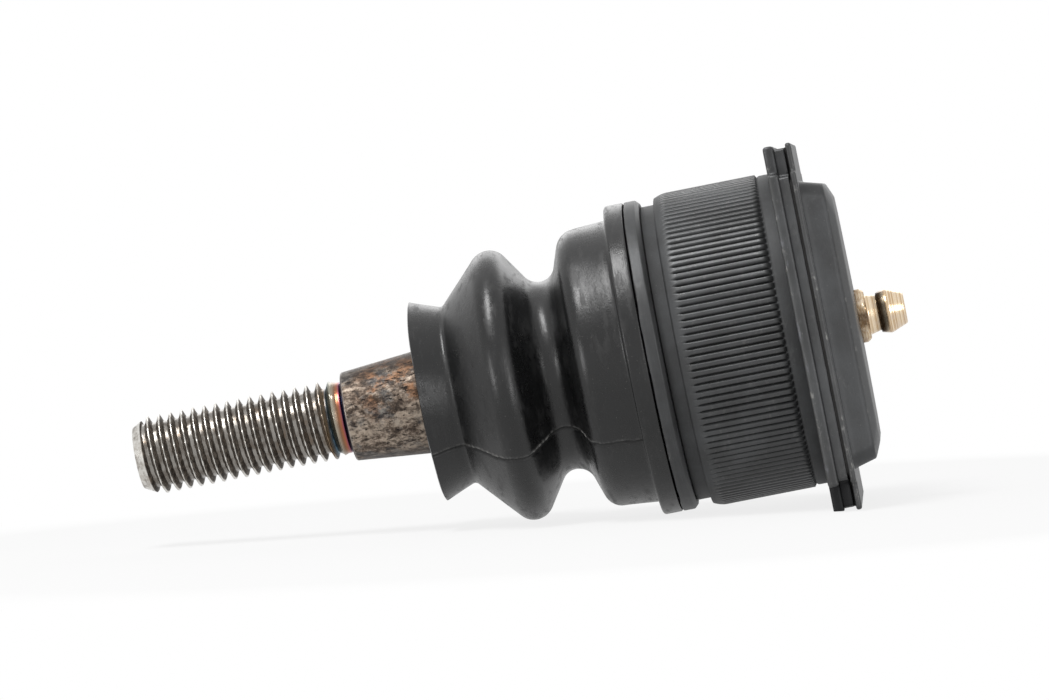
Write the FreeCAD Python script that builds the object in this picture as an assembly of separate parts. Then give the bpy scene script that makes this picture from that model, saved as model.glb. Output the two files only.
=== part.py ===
import FreeCAD, Part
import math
import os

# A suspension ball joint that is pressed into the eye of a control arm.
# Millimetres. The origin is the centre of the ball. The stud points along -X, the cover and the
# grease nipple face +X, and +Z is up as the joint lies on its side. The pieces are drawn with the
# stud along +X, so that lengths count from the ball towards the thread, and turned round at the end.

# The ball stud
ball_radius = 13.5
neck_radius = 7.2
neck_end = 32.2                # ball centre to where the neck starts to swell
neck_swell_length = 5.0        # from the neck to the taper's big end
taper_small_radius = 6.75
taper_half_angle = 5.4         # degrees from the stud's axis
taper_length = 21.4
relief_length = 2.0            # groove between the taper and the thread
relief_depth = 0.6
thread_radius = 6.0            # M12 x 1.75
thread_length = 30.7
thread_chamfer = 1.4
tip_dome = 0.3                 # height of the shank's slightly domed end

# The bearings that hold the ball, and the spring that loads them
seat_film = 0.06               # grease between the ball and what it turns in
bearing_wall = 3.5
bearing_edge_angle = 61.0      # degrees from the stud's axis to the bearing's open edge
bearing_back = 0.3             # the bearing reaches this far past the ball's equator
bearing_lip = 0.93             # from the bearing's open edge to the shoulder that holds it
seat_front = 1.0               # the pressure seat starts this far past the equator
seat_back_wall = 1.7
seat_grease_hole = 4.0
seat_back_chamfer = 0.4
spring_height = 2.85
spring_thickness = 0.95
spring_hole_radius = 8.5
spring_bore_play = 1.0

# The housing, from the stud side to the cover side
mouth_half_angle = 24.5        # degrees, a little less than the stud's swing
spigot_wall = 3.5
spigot_foot = 2.4              # the spigot's reach past the mounting ring
spigot_chamfer = 0.5
step_height = 1.9              # plain collar between the mounting ring and the knurl
step_length = 2.2
knurl_start = 7.1              # ball centre to the knurl's stud end
knurl_length = 15.8
knurl_crest_radius = 23.85
knurl_depth = 0.5
knurl_teeth = 138
knurl_land_share = 0.26        # share of a tooth's pitch that its crest takes
knurl_root_share = 0.14
lead_in_length = 2.0
lead_in_drop = 0.55
band_drop = 0.25               # the plain band lies this far under the crests
band_length = 2.1

# The square flange with notched corners
cap_over_bore = 4.5            # the cover's cap stands this far outside the bore
cap_notch_play = 1.0           # and this far inside the flange's notches
flange_notch = 4.9
flange_corner_radius = 0.9
flange_rim = 1.6
flange_rim_round = 0.4
flange_inset = 0.6
flange_inset_thickness = 1.5

# The cover and its gasket
gasket_thickness = 0.25
gasket_bore_play = 0.08
cover_rim = 0.85
cover_rim_round = 0.3
cover_wall = 1.6
cover_draft = 15.0             # degrees
cover_bevel_height = 1.2
cover_bevel_reach = 2.3
cover_corner_radius = 1.5
cover_collar_wall = 1.7        # drawn collar round the nipple's thread
cover_collar_length = 1.5

# The grease nipple
nipple_thread_radius = 2.95    # M6
nipple_shank_reach = 0.6       # past the cover's collar
hex_across_flats = 7.0
hex_height = 1.35              # above the cover's face
hex_dish_depth = 0.5           # the hexagon sits in a shallow dish in the cover
hex_dish_play = 0.35
nipple_neck_radius = 2.9
nipple_neck_length = 1.65
nipple_head_radius = 3.375
nipple_head_back_drop = 0.375
nipple_head_back_length = 1.5
nipple_head_front_length = 2.6
nipple_face_drop = 1.075
nipple_mouth_radius = 0.8
nipple_mouth_length = 0.75
check_ball_radius = 1.25
chamber_play = 0.2             # round the check ball
check_spring_wire = 0.28
check_spring_turns = 5.0
stop_ring_length = 0.8
stop_ring_hole = 0.6

# The dust boot and its rings
mounting_ring_thickness = 2.5
mounting_ring_wall = 3.1
mounting_ring_chamfer = 0.7
boot_wall = 1.8
boot_flange_thickness = 2.9
boot_shoulder_drop = 2.0       # under the flange's edge
boot_shoulder_length = 7.45     # flange to the shoulder's corner
boot_shoulder_taper = 0.65
boot_shoulder_round = 2.8
boot_waist_run = 3.4           # shoulder's corner to the waist's corner
boot_waist_drop = 9.75
boot_waist_round = 2.7
boot_bulge_run = 7.6           # waist's corner to the bulge's corner
boot_bulge_rise = 11.2
boot_bulge_round = 3.0
boot_bulge_fall_run = 8.4      # bulge's corner to the neck
boot_neck_round = 0.8
neck_ring_on_taper = 4.5       # taper's big end to the middle of the neck ring
neck_ring_length = 5.4
neck_ring_wall = 2.9
boot_lip_length = 4.85
boot_lip_flare = 1.85
boot_lip_edge = 0.35

# Fits
press_play = 0.02              # left between pieces that are pressed together
running_play = 0.08            # radial play of pieces that turn
rubber_play = 0.3              # left round soft rubber that moves with its neighbour
face_play = 0.05               # left between faces that slide on each other

# Places along X and radii that follow from the sizes above
bore_radius = ball_radius + bearing_wall
socket_radius = ball_radius + seat_film
bearing_edge = socket_radius * math.cos(math.radians(bearing_edge_angle))
bearing_stop = bearing_edge + bearing_lip
mouth_slope = math.tan(math.radians(mouth_half_angle))
spigot_radius = bore_radius + spigot_wall
step_radius = spigot_radius + step_height
spigot_start = knurl_start + step_length
boot_base = spigot_start + mounting_ring_thickness
spigot_end = boot_base + spigot_foot
knurl_end = knurl_start - knurl_length
band_radius = knurl_crest_radius - band_drop
flange_face = knurl_end - band_length
rim_back = flange_face - flange_rim
flange_back = rim_back - flange_inset_thickness
cap_foot_half = bore_radius + cap_over_bore
flange_half = cap_foot_half + cap_notch_play + flange_notch
seat_back = -(ball_radius + seat_back_wall)
spring_face = seat_back - face_play
cap_inside = spring_face - spring_height
cap_face = cap_inside - cover_wall
cover_seat = flange_back - gasket_thickness
cover_back = cover_seat - cover_rim
collar_end = cap_inside + cover_collar_length
hex_seat = cap_face + hex_dish_depth
hex_end = cap_face - hex_height
nipple_neck_end = hex_end - nipple_neck_length
head_widest = nipple_neck_end - nipple_head_back_length
head_end = head_widest - nipple_head_front_length
shank_end = collar_end + nipple_shank_reach
chamber_radius = check_ball_radius + chamber_play
mouth_cone = head_end + nipple_mouth_length
check_ball_x = mouth_cone + (check_ball_radius + face_play) * math.sqrt(2) - nipple_mouth_radius
taper_big_end = neck_end + neck_swell_length
taper_small_end = taper_big_end + taper_length
thread_start = taper_small_end + relief_length
stud_end = thread_start + thread_length
taper_slope = math.tan(math.radians(taper_half_angle))
mounting_ring_radius = spigot_radius + mounting_ring_wall
neck_ring_middle = taper_big_end + neck_ring_on_taper
axis = FreeCAD.Vector(1, 0, 0)
centre = FreeCAD.Vector(0, 0, 0)


def taper_radius(x):
    """Radius of the stud's taper at x."""
    return taper_small_radius + (taper_small_end - x) * taper_slope


def off_axis(radius, x):
    """Distance from the axis, at x, of a sphere round the ball's centre."""
    return math.sqrt(radius ** 2 - x ** 2)


def point(x, r):
    return FreeCAD.Vector(x, r, 0)


def line(a, b):
    return Part.LineSegment(point(*a), point(*b)).toShape()


def arc(a, middle, b):
    return Part.Arc(point(*a), point(*middle), point(*b)).toShape()


def ball_arc(radius, x0, x1):
    """Arc of a sphere round the ball's centre, from x0 to x1."""
    middle = (x0 + x1) / 2
    return arc((x0, off_axis(radius, x0)), (middle, off_axis(radius, middle)),
               (x1, off_axis(radius, x1)))


def turned(edges):
    """Turns a closed outline of edges round the X axis into one solid."""
    return Part.Face(Part.Wire(edges)).revolve(centre, axis, 360)


def chain(points):
    """Straight edges through (x, radius) points."""
    return [line(a, b) for a, b in zip(points, points[1:])]


def rounded_chain(points):
    """Straight edges through (x, radius, rounding) points, with a tangent arc at each rounded corner."""
    edges, last = [], points[0][:2]
    for before, here, after in zip(points, points[1:], points[2:]):
        x, r, rounding = here
        back = math.atan2(before[1] - r, before[0] - x)
        ahead = math.atan2(after[1] - r, after[0] - x)
        half = abs((back - ahead + math.pi) % (2 * math.pi) - math.pi) / 2
        reach = rounding / math.tan(half)
        start = (x + reach * math.cos(back), r + reach * math.sin(back))
        end = (x + reach * math.cos(ahead), r + reach * math.sin(ahead))
        inward = math.atan2(math.sin(back) + math.sin(ahead), math.cos(back) + math.cos(ahead))
        to_arc = rounding / math.sin(half) - rounding
        middle = (x + to_arc * math.cos(inward), r + to_arc * math.sin(inward))
        edges += [line(last, start), arc(start, middle, end)]
        last = end
    return edges + [line(last, points[-1][:2])]


def inset(points, distance):
    """Corner points (x, radius) of the same outline, drawn this far inside it."""
    moved = []
    for i, (x, r) in enumerate(points):
        before, after = points[max(i - 1, 0)], points[min(i + 1, len(points) - 1)]
        into = math.atan2(r - before[1], x - before[0]) if i else None
        out = math.atan2(after[1] - r, after[0] - x) if i < len(points) - 1 else None
        into, out = (out if into is None else into), (into if out is None else out)
        middle, half = (into + out) / 2, (out - into) / 2
        reach = distance / math.cos(half)
        moved.append((x + reach * math.sin(middle), r - reach * math.cos(middle)))
    return moved


def turned_outline(points):
    """Turns a closed outline of straight lines, given as (x, radius) corners."""
    return turned(chain(points + points[:1]))


def rod(x0, x1, radius):
    """A plain cylinder on the X axis between x0 and x1."""
    return Part.makeCylinder(radius, abs(x1 - x0), FreeCAD.Vector(min(x0, x1), 0, 0), axis)


def prism(corners, x0, x1):
    """Extrudes an outline of (y, z) corners from x0 to x1."""
    ring = [FreeCAD.Vector(x0, y, z) for y, z in corners]
    face = Part.Face(Part.makePolygon(ring + ring[:1]))
    return face.extrude(FreeCAD.Vector(x1 - x0, 0, 0))


def edges_along_x(shape):
    """The edges that run parallel to the X axis."""
    return [e for e in shape.Edges if e.BoundBox.YLength + e.BoundBox.ZLength < 1e-6]


def edges_at(shape, x):
    """The edges that lie in the plane at x."""
    return [e for e in shape.Edges
            if abs(e.BoundBox.XMin - x) < 1e-6 and abs(e.BoundBox.XMax - x) < 1e-6]


def quarter_turned(y, z, quarter):
    """A (y, z) place turned by quarters of a circle about the X axis."""
    turns = [(y, z), (-z, y), (-y, -z), (z, -y)]
    return turns[quarter]


def notched_square(inset, x0, x1, rounded_ends=()):
    """Flange outline set in by inset: a square plate with square notches and rounded upright edges.

    rounded_ends holds (x, radius) for a face whose edge is rounded."""
    half = flange_half - inset
    inner = half - flange_notch
    corners = [quarter_turned(y, z, q) for q in range(4)
               for y, z in ((half, -inner), (half, inner), (inner, inner))]
    plate = prism(corners, x0, x1)
    plate = plate.makeFillet(flange_corner_radius, edges_along_x(plate))
    for x, radius in rounded_ends:
        plate = plate.makeFillet(radius, edges_at(plate, x))
    return plate


def drafted_square(half, x0, x1, reach):
    """A square block with rounded corners whose sides lean in by reach from x0 to x1."""

    def ring(x, size):
        rounding = cover_corner_radius * size / half
        flat = size - rounding
        diagonal = flat + rounding * math.sqrt(0.5)
        edges = []
        for quarter in range(4):
            places = [(size, -flat), (size, flat), (diagonal, diagonal), (flat, size)]
            a, b, c, d = [FreeCAD.Vector(x, *quarter_turned(y, z, quarter)) for y, z in places]
            edges += [Part.LineSegment(a, b).toShape(), Part.Arc(b, c, d).toShape()]
        return Part.Wire(edges)

    return Part.makeLoft([ring(x0, half), ring(x1, half - reach)], True, True)


def ball_stud():
    """Ball, neck, taper, relief groove and threaded shank, turned as one piece."""
    ball_edge = off_axis(ball_radius, neck_radius)
    big = taper_radius(taper_big_end)
    groove = thread_radius - relief_depth
    tip = thread_radius - thread_chamfer
    dome = (tip ** 2 + tip_dome ** 2) / (2 * tip_dome)
    dome_middle = (stud_end - dome + off_axis(dome, tip / 2), tip / 2)
    neck = rounded_chain([
        (ball_edge, neck_radius, 0),
        (neck_end, neck_radius, neck_swell_length),
        (taper_big_end, big, 0)])
    shank = chain([
        (taper_big_end, big),
        (taper_small_end, taper_small_radius),
        (taper_small_end, groove),
        (thread_start - relief_depth, groove),
        (thread_start, thread_radius),
        (stud_end - thread_chamfer, thread_radius),
        (stud_end - tip_dome, tip)])
    return turned([
        arc((-ball_radius, 0), (0, ball_radius), (ball_edge, neck_radius)),
        *neck, *shank,
        arc((stud_end - tip_dome, tip), dome_middle, (stud_end, 0)),
        line((stud_end, 0), (-ball_radius, 0))])


def knurl():
    """Straight teeth round the press seat, with a tapered lead-in at the stud end."""
    root_radius = knurl_crest_radius - knurl_depth
    pitch = 2 * math.pi / knurl_teeth
    land, root = pitch * knurl_land_share, pitch * knurl_root_share

    def at(angle, radius):
        return FreeCAD.Vector(knurl_end, radius * math.cos(angle), radius * math.sin(angle))

    edges = []
    for tooth in range(knurl_teeth):
        middle = tooth * pitch
        valley = middle + pitch / 2
        crest = [at(middle + side * land / 2, knurl_crest_radius) for side in (-1, 0, 1)]
        foot = [at(valley + side * root / 2, root_radius) for side in (-1, 1)]
        following = at(middle + pitch - land / 2, knurl_crest_radius)
        edges += [Part.Arc(*crest).toShape(),
                  Part.LineSegment(crest[2], foot[0]).toShape(),
                  Part.LineSegment(foot[0], foot[1]).toShape(),
                  Part.LineSegment(foot[1], following).toShape()]
    teeth = Part.Face(Part.Wire(edges)).extrude(FreeCAD.Vector(knurl_length, 0, 0))
    outside = knurl_crest_radius + knurl_depth
    lead_in = turned_outline([
        (knurl_start, knurl_crest_radius - lead_in_drop),
        (knurl_start - lead_in_length, knurl_crest_radius),
        (knurl_start - lead_in_length, outside),
        (knurl_start + knurl_depth, outside),
        (knurl_start + knurl_depth, knurl_crest_radius - lead_in_drop)])
    return teeth.cut(lead_in)


def housing():
    """Spigot, collar, knurled press seat, band and square flange, with the bore and the mouth."""
    core = turned_outline([
        (spigot_end, 0),
        (spigot_end, spigot_radius - spigot_chamfer),
        (spigot_end - spigot_chamfer, spigot_radius),
        (spigot_start, spigot_radius),
        (spigot_start, step_radius),
        (knurl_end, step_radius),
        (knurl_end, band_radius),
        (flange_face, band_radius),
        (flange_face, 0)])
    rim = notched_square(0, flange_face, rim_back, [(rim_back, flange_rim_round)])
    inset = notched_square(flange_inset, rim_back, flange_back)
    body = core.fuse([knurl(), rim, inset])
    bore = rod(bearing_stop, flange_back, bore_radius)
    edge_radius = off_axis(socket_radius, bearing_edge)
    mouth = turned_outline([
        (bearing_edge, 0),
        (bearing_edge, edge_radius),
        (spigot_end, edge_radius + (spigot_end - bearing_edge) * mouth_slope),
        (spigot_end, 0)])
    return body.cut([bore, mouth]).removeSplitter()


def upper_bearing():
    """Ring that holds the ball from the stud side, pressed against the housing's shoulder."""
    outer = bore_radius - press_play
    edge_radius = off_axis(socket_radius, bearing_edge)
    lip = edge_radius + (bearing_stop - bearing_edge) * mouth_slope
    front = chain([(bearing_stop, outer), (bearing_stop, lip), (bearing_edge, edge_radius)])
    back = chain([(-bearing_back, off_axis(socket_radius, bearing_back)), (-bearing_back, outer),
                  (bearing_stop, outer)])
    return turned([*front, ball_arc(socket_radius, bearing_edge, -bearing_back), *back])


def pressure_seat():
    """Cup behind the ball, free to turn in the bore, with a hole that lets the grease through."""
    outer = bore_radius - running_play
    hole_start = -off_axis(socket_radius, seat_grease_hole)
    rest = chain([
        (hole_start, seat_grease_hole),
        (seat_back, seat_grease_hole),
        (seat_back, outer - seat_back_chamfer),
        (seat_back + seat_back_chamfer, outer),
        (-seat_front, outer),
        (-seat_front, off_axis(socket_radius, seat_front))])
    return turned([ball_arc(socket_radius, -seat_front, hole_start), *rest])


def preload_spring():
    """Conical disc spring: its inner edge bears on the seat and its outer edge on the cover."""
    outer = bore_radius - spring_bore_play
    return turned_outline([
        (spring_face, spring_hole_radius),
        (cap_inside + spring_thickness, outer),
        (cap_inside, outer),
        (spring_face - spring_thickness, spring_hole_radius)])


def cover_plate():
    """Pressed square cap with a thin rim, a bevelled edge, and a drawn collar for the nipple."""
    rim = notched_square(0, cover_seat, cover_back, [(cover_back, cover_rim_round)])
    slope = math.tan(math.radians(cover_draft))
    wall_end = cap_face + cover_bevel_height
    wall_reach = (cover_back - wall_end) * slope
    cap = drafted_square(cap_foot_half, cover_back, wall_end, wall_reach)
    bevel = drafted_square(cap_foot_half - wall_reach, wall_end, cap_face, cover_bevel_reach)
    room = drafted_square(cap_foot_half - cover_wall, cover_seat, cap_inside,
                          (cover_seat - cap_inside) * slope)
    collar = rod(cap_inside, collar_end, nipple_thread_radius + cover_collar_wall)
    dish = rod(cap_face, hex_seat, hex_across_flats / math.sqrt(3) + hex_dish_play)
    hole = rod(cap_face, collar_end, nipple_thread_radius + press_play)
    shell = rim.fuse([cap, bevel]).cut(room).fuse(collar)
    return shell.cut([dish, hole]).removeSplitter()


def cover_gasket():
    """Thin flat gasket between the flange and the cover."""
    sheet = notched_square(flange_inset, flange_back, cover_seat)
    return sheet.cut(rod(flange_back, cover_seat, bore_radius + gasket_bore_play))


def grease_nipple():
    """Threaded shank, hexagon, neck and rounded head, with the check ball's chamber inside."""
    flat = hex_across_flats / 2
    corner = flat / math.cos(math.pi / 6)
    corners = [(corner * math.sin(i * math.pi / 3), corner * math.cos(i * math.pi / 3))
               for i in range(6)]
    crown = turned_outline([
        (hex_seat, 0), (hex_seat, corner), (hex_end + (corner - flat), corner),
        (hex_end, flat), (hex_end, 0)])
    hexagon = prism(corners, hex_seat, hex_end).common(crown)
    shank = rod(shank_end, hex_seat, nipple_thread_radius)
    head = turned([
        *chain([
            (hex_end, 0),
            (hex_end, nipple_neck_radius),
            (nipple_neck_end, nipple_neck_radius),
            (nipple_neck_end, nipple_head_radius - nipple_head_back_drop)]),
        *rounded_chain([
            (nipple_neck_end, nipple_head_radius - nipple_head_back_drop, 0),
            (head_widest, nipple_head_radius, nipple_head_back_length),
            (head_end, nipple_head_radius - nipple_face_drop, 0)]),
        *chain([(head_end, nipple_head_radius - nipple_face_drop), (head_end, 0), (hex_end, 0)])])
    mouth = rod(head_end, mouth_cone, nipple_mouth_radius)
    cone_end = mouth_cone + chamber_radius - nipple_mouth_radius
    cone = turned_outline([
        (mouth_cone, 0), (mouth_cone, nipple_mouth_radius), (cone_end, chamber_radius), (cone_end, 0)])
    chamber = rod(cone_end, shank_end, chamber_radius)
    return hexagon.fuse([shank, head]).cut([mouth, cone, chamber]).removeSplitter()


def nipple_check_ball():
    """Small ball that closes the nipple's mouth."""
    return Part.makeSphere(check_ball_radius, FreeCAD.Vector(check_ball_x, 0, 0))


def nipple_spring_stop():
    """Small ring staked in the shank's end, which the spring stands on."""
    start = shank_end - stop_ring_length
    ring = rod(start, shank_end, chamber_radius - press_play)
    return ring.cut(rod(start, shank_end, stop_ring_hole))


def nipple_check_spring():
    """Coil spring between the check ball and the stop ring."""
    half = check_spring_wire / 2
    radius = chamber_radius - running_play - check_spring_wire
    start = check_ball_x + off_axis(check_ball_radius, radius - half) + face_play + half
    end = shank_end - stop_ring_length - face_play - half
    helix = Part.makeHelix((end - start) / check_spring_turns, end - start, radius)
    sides = [math.radians(45 + 90 * side) for side in range(5)]
    section = Part.makePolygon([
        FreeCAD.Vector(radius + half * math.cos(turn), 0, half * math.sin(turn)) for turn in sides])
    coil = Part.Wire(helix).makePipeShell([section], True, True)
    coil.rotate(centre, FreeCAD.Vector(0, 1, 0), 90)
    coil.translate(FreeCAD.Vector(start, 0, 0))
    return coil


def boot_mounting_ring():
    """Steel ring on the spigot behind the boot's flange, chamfered towards the knurl."""
    inner = spigot_radius + press_play
    return turned_outline([
        (spigot_start, inner),
        (boot_base, inner),
        (boot_base, mounting_ring_radius),
        (spigot_start + mounting_ring_chamfer, mounting_ring_radius),
        (spigot_start, mounting_ring_radius - mounting_ring_chamfer)])


def dust_boot():
    """Rubber bellows: base flange, shoulder, waist, bulge, neck and a thin flared lip."""
    flange_end = boot_base + boot_flange_thickness
    shoulder = mounting_ring_radius - boot_shoulder_drop
    corner = flange_end + boot_shoulder_length
    corner_radius = shoulder - boot_shoulder_taper
    waist, waist_radius = corner + boot_waist_run, corner_radius - boot_waist_drop
    bulge, bulge_radius = waist + boot_bulge_run, waist_radius + boot_bulge_rise
    neck = bulge + boot_bulge_fall_run
    ring_room = taper_radius(neck_ring_middle) + running_play + neck_ring_wall + rubber_play
    ring_start = neck_ring_middle - neck_ring_length / 2 - rubber_play
    ring_end = neck_ring_middle + neck_ring_length / 2 + rubber_play
    lip, lip_radius = neck + boot_lip_length, ring_room + boot_wall + boot_lip_flare
    corners = [(flange_end, shoulder), (corner, corner_radius), (waist, waist_radius),
               (bulge, bulge_radius), (neck, ring_room + boot_wall)]
    rounds = [0, boot_shoulder_round, boot_waist_round, boot_bulge_round, boot_neck_round]
    outside = rounded_chain([(x, r, rounding) for (x, r), rounding in zip(corners, rounds)]
                            + [(lip, lip_radius, 0)])
    inner = inset(corners, boot_wall)
    fall = (inner[4][1] - inner[3][1]) / (inner[4][0] - inner[3][0])
    inner[4] = (ring_start, inner[3][1] + (ring_start - inner[3][0]) * fall)
    inner[0] = (spigot_end + face_play, inner[0][1])
    rounds = [0, boot_shoulder_round - boot_wall, boot_waist_round + boot_wall,
              boot_bulge_round - boot_wall, 0]
    inside = rounded_chain([(x, r, rounding) for (x, r), rounding in zip(inner, rounds)][::-1])
    lip_side = chain([(lip, lip_radius), (lip, lip_radius - boot_lip_edge), (ring_end, ring_room),
                      (ring_start, ring_room), inner[4]])
    grip = spigot_radius + face_play
    base_side = chain([inner[0], (inner[0][0], grip), (boot_base, grip),
                       (boot_base, mounting_ring_radius), (flange_end, mounting_ring_radius),
                       (flange_end, shoulder)])
    return turned([*outside, *lip_side, *inside, *base_side])


def boot_neck_ring():
    """Hard ring in the boot's neck, whose bore follows the stud's taper."""
    start = neck_ring_middle - neck_ring_length / 2
    end = neck_ring_middle + neck_ring_length / 2
    outer = taper_radius(neck_ring_middle) + running_play + neck_ring_wall
    return turned_outline([
        (start, taper_radius(start) + running_play),
        (start, outer),
        (end, outer),
        (end, taper_radius(end) + running_play)])


pieces = [ball_stud, housing, upper_bearing, pressure_seat, preload_spring, cover_plate, cover_gasket,
          grease_nipple, nipple_check_ball, nipple_check_spring, nipple_spring_stop,
          boot_mounting_ring, dust_boot, boot_neck_ring]

os.makedirs("parts", exist_ok=True)
for piece in pieces:
    shape = piece()
    shape.rotate(centre, FreeCAD.Vector(0, 0, 1), 180)
    shape.exportStep("parts/" + piece.__name__ + ".step")
    box = shape.BoundBox
    print(piece.__name__, len(shape.Solids), shape.isValid(), round(shape.Volume, 1),
          [round(v, 2) for v in (box.XMin, box.XMax, box.YMax, box.ZMax)])
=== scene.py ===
import bpy
import bmesh
import math
import numpy as np
from mathutils import Matrix, Vector


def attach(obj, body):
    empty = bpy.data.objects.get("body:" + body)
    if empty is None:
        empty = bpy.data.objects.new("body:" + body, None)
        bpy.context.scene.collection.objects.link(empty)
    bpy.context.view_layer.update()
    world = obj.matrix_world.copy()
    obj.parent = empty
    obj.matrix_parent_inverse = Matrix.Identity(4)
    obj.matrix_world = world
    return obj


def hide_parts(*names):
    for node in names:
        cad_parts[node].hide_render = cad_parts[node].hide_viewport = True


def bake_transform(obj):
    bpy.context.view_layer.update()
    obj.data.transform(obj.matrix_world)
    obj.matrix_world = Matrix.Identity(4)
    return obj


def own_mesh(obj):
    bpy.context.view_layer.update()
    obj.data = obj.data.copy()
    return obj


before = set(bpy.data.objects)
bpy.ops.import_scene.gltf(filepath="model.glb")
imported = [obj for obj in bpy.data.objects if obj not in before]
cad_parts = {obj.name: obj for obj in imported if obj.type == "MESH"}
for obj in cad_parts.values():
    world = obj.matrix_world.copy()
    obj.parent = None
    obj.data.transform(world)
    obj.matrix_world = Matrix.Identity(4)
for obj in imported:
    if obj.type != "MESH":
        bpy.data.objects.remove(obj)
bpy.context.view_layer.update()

# Lengths here are in millimetres and become metres when a mesh is made. "along" is the distance
# from the ball's centre towards the stud's tip, which is -X. An angle of 0 faces the camera, and
# 90 degrees is up.
millimetre = 0.001
fullTurn = 2 * math.pi


# Evenly spaced angles round a piece, in radians.
def evenAngles(count):
    return np.linspace(0, fullTurn, count, endpoint=False)


# A straight climb from 0 at the first value to 1 at the second: (values - low) / (high - low).
def climb(values, low, high):
    return np.clip((values - low) / (high - low), 0, 1)


# Smooth waviness, mostly between -1 and 1: a sum of sine waves with whole numbers of turns round
# the piece (angle in radians) and slow waves along it (place in mm), each with its own phase.
def wander(angle, place, seed, rounds, slowest=40.0):
    waveCount, strongest = 8, 3.2
    chance = np.random.default_rng(seed)
    turns = chance.integers(1, rounds + 1, waveCount)
    waves = chance.uniform(0.5, 3.0, waveCount) / slowest * fullTurn
    phases = chance.uniform(0, fullTurn, (2, waveCount))
    total = sum(np.sin(k * angle + a) * np.cos(w * place + b)
                for k, w, a, b in zip(turns, waves, *phases))
    return total / strongest


# Corner points (along, radius, rounding) become one smooth line. At each corner the line runs on
# the circle that touches both straight runs: centre + (start sin((1-t)w) + end sin(t w)) / sin w.
def roundedLine(corners, step):
    spots = np.array([corner[:2] for corner in corners], float)
    roundings = [corner[2] for corner in corners[1:]]
    finer, fewest = 1.6, 4
    pieces, last = [], spots[0]
    for before, here, after, rounding in zip(spots, spots[1:], spots[2:], roundings):
        back = (before - here) / np.linalg.norm(before - here)
        ahead = (after - here) / np.linalg.norm(after - here)
        if rounding <= 0:
            pieces.append(straightRun(last, here, step))
            last = here
            continue
        half = math.acos(np.clip(back @ ahead, -1, 1)) / 2
        reach = rounding / math.tan(half)
        towards = (back + ahead) / np.linalg.norm(back + ahead)
        middle = here + towards * rounding / math.sin(half)
        start, end = here + back * reach - middle, here + ahead * reach - middle
        sweep = math.pi - 2 * half
        count = max(fewest, int(rounding * sweep / step * finer))
        t = np.linspace(0, 1, count + 1)[:, None]
        bent = start * np.sin((1 - t) * sweep) + end * np.sin(t * sweep)
        arc = middle + bent / math.sin(sweep)
        pieces += [straightRun(last, arc[0], step), arc[:-1]]
        last = arc[-1]
    pieces += [straightRun(last, spots[-1], step), spots[-1:]]
    return np.concatenate(pieces)


# Evenly spaced points from one place towards another, the last one left out.
def straightRun(start, end, step):
    count = max(1, int(np.linalg.norm(end - start) / step))
    return start + (end - start) * np.linspace(0, 1, count, endpoint=False)[:, None]


# The same line moved sideways by a depth: each point goes along the line's normal (dr, -dx).
def besideLine(line, depth):
    run = np.gradient(line, axis=0)
    normal = np.stack([run[:, 1], -run[:, 0]], 1) / np.linalg.norm(run, axis=1)[:, None]
    return line + normal * np.reshape(depth, (-1, 1))


# Rings of a turned piece: (x, y, z) = (-along, -radius cos angle, radius sin angle), where the
# radius may be an array over the rings and the angles.
def turnedRings(along, radius, angles):
    along = np.broadcast_to(np.reshape(along, (-1, 1)), (len(along), len(angles)))
    radius = np.broadcast_to(radius if np.ndim(radius) == 2 else np.reshape(radius, (-1, 1)),
                             along.shape)
    return np.stack([-along, -radius * np.cos(angles), radius * np.sin(angles)], 2)


# Puts a mesh, a lamp or a camera into the scene, placed and turned by the matrix.
def addObject(name, data, matrix=Matrix()):
    added = bpy.data.objects.new(name, data)
    added.matrix_world = matrix
    bpy.context.scene.collection.objects.link(added)
    return added


# A closed mesh from rings of points: each ring joins the next with four-sided faces. The last
# ring joins the first one, or with poles each end closes on a point in its middle.
def skin(name, rings, layers, sharpAt, poles=False):
    rows, columns = rings.shape[:2]
    spots = rings.reshape(-1, 3)
    index = np.arange(rows * columns).reshape(rows, columns)
    onward = np.roll(index, -1, 1)
    if poles:
        low, high, lowOn, highOn = index[:-1], index[1:], onward[:-1], onward[1:]
    else:
        low, high = index, np.roll(index, -1, 0)
        lowOn, highOn = onward, np.roll(onward, -1, 0)
    faces = np.stack([low, lowOn, highOn, high], 2).reshape(-1, 4).tolist()
    if poles:
        spots = np.concatenate([spots, [rings[0].mean(0), rings[-1].mean(0)]])
        first, last = rows * columns, rows * columns + 1
        faces += np.stack([np.full(columns, first), onward[0], index[0]], 1).tolist()
        faces += np.stack([np.full(columns, last), index[-1], onward[-1]], 1).tolist()
    mesh = bpy.data.meshes.new(name)
    mesh.from_pydata((spots * millimetre).tolist(), [], faces)
    for layer, values in layers.items():
        values = np.broadcast_to(values, (rows, columns)).reshape(-1)
        values = np.concatenate([values, np.zeros(len(spots) - len(values))]).astype(np.float32)
        mesh.attributes.new(layer, "FLOAT", "POINT").data.foreach_set("value", values)
    shell = bmesh.new()
    shell.from_mesh(mesh)
    bmesh.ops.recalc_face_normals(shell, faces=shell.faces)
    if shell.calc_volume(signed=True) < 0:
        bmesh.ops.reverse_faces(shell, faces=shell.faces)
    shell.to_mesh(mesh)
    shell.free()
    mesh.shade_smooth()
    mesh.set_sharp_from_angle(angle=math.radians(sharpAt))
    return addObject(name, mesh)


# Gives a piece its finish and its body if it moves with one alone, and hides the CAD node it stands
# for.
def fit(piece, body, material, node):
    piece.data.materials.clear()
    piece.data.materials.append(material)
    if body:
        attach(piece, body)
    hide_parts(node)
    print("  piece", piece.name, len(piece.data.polygons), "faces")
    return piece


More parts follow.
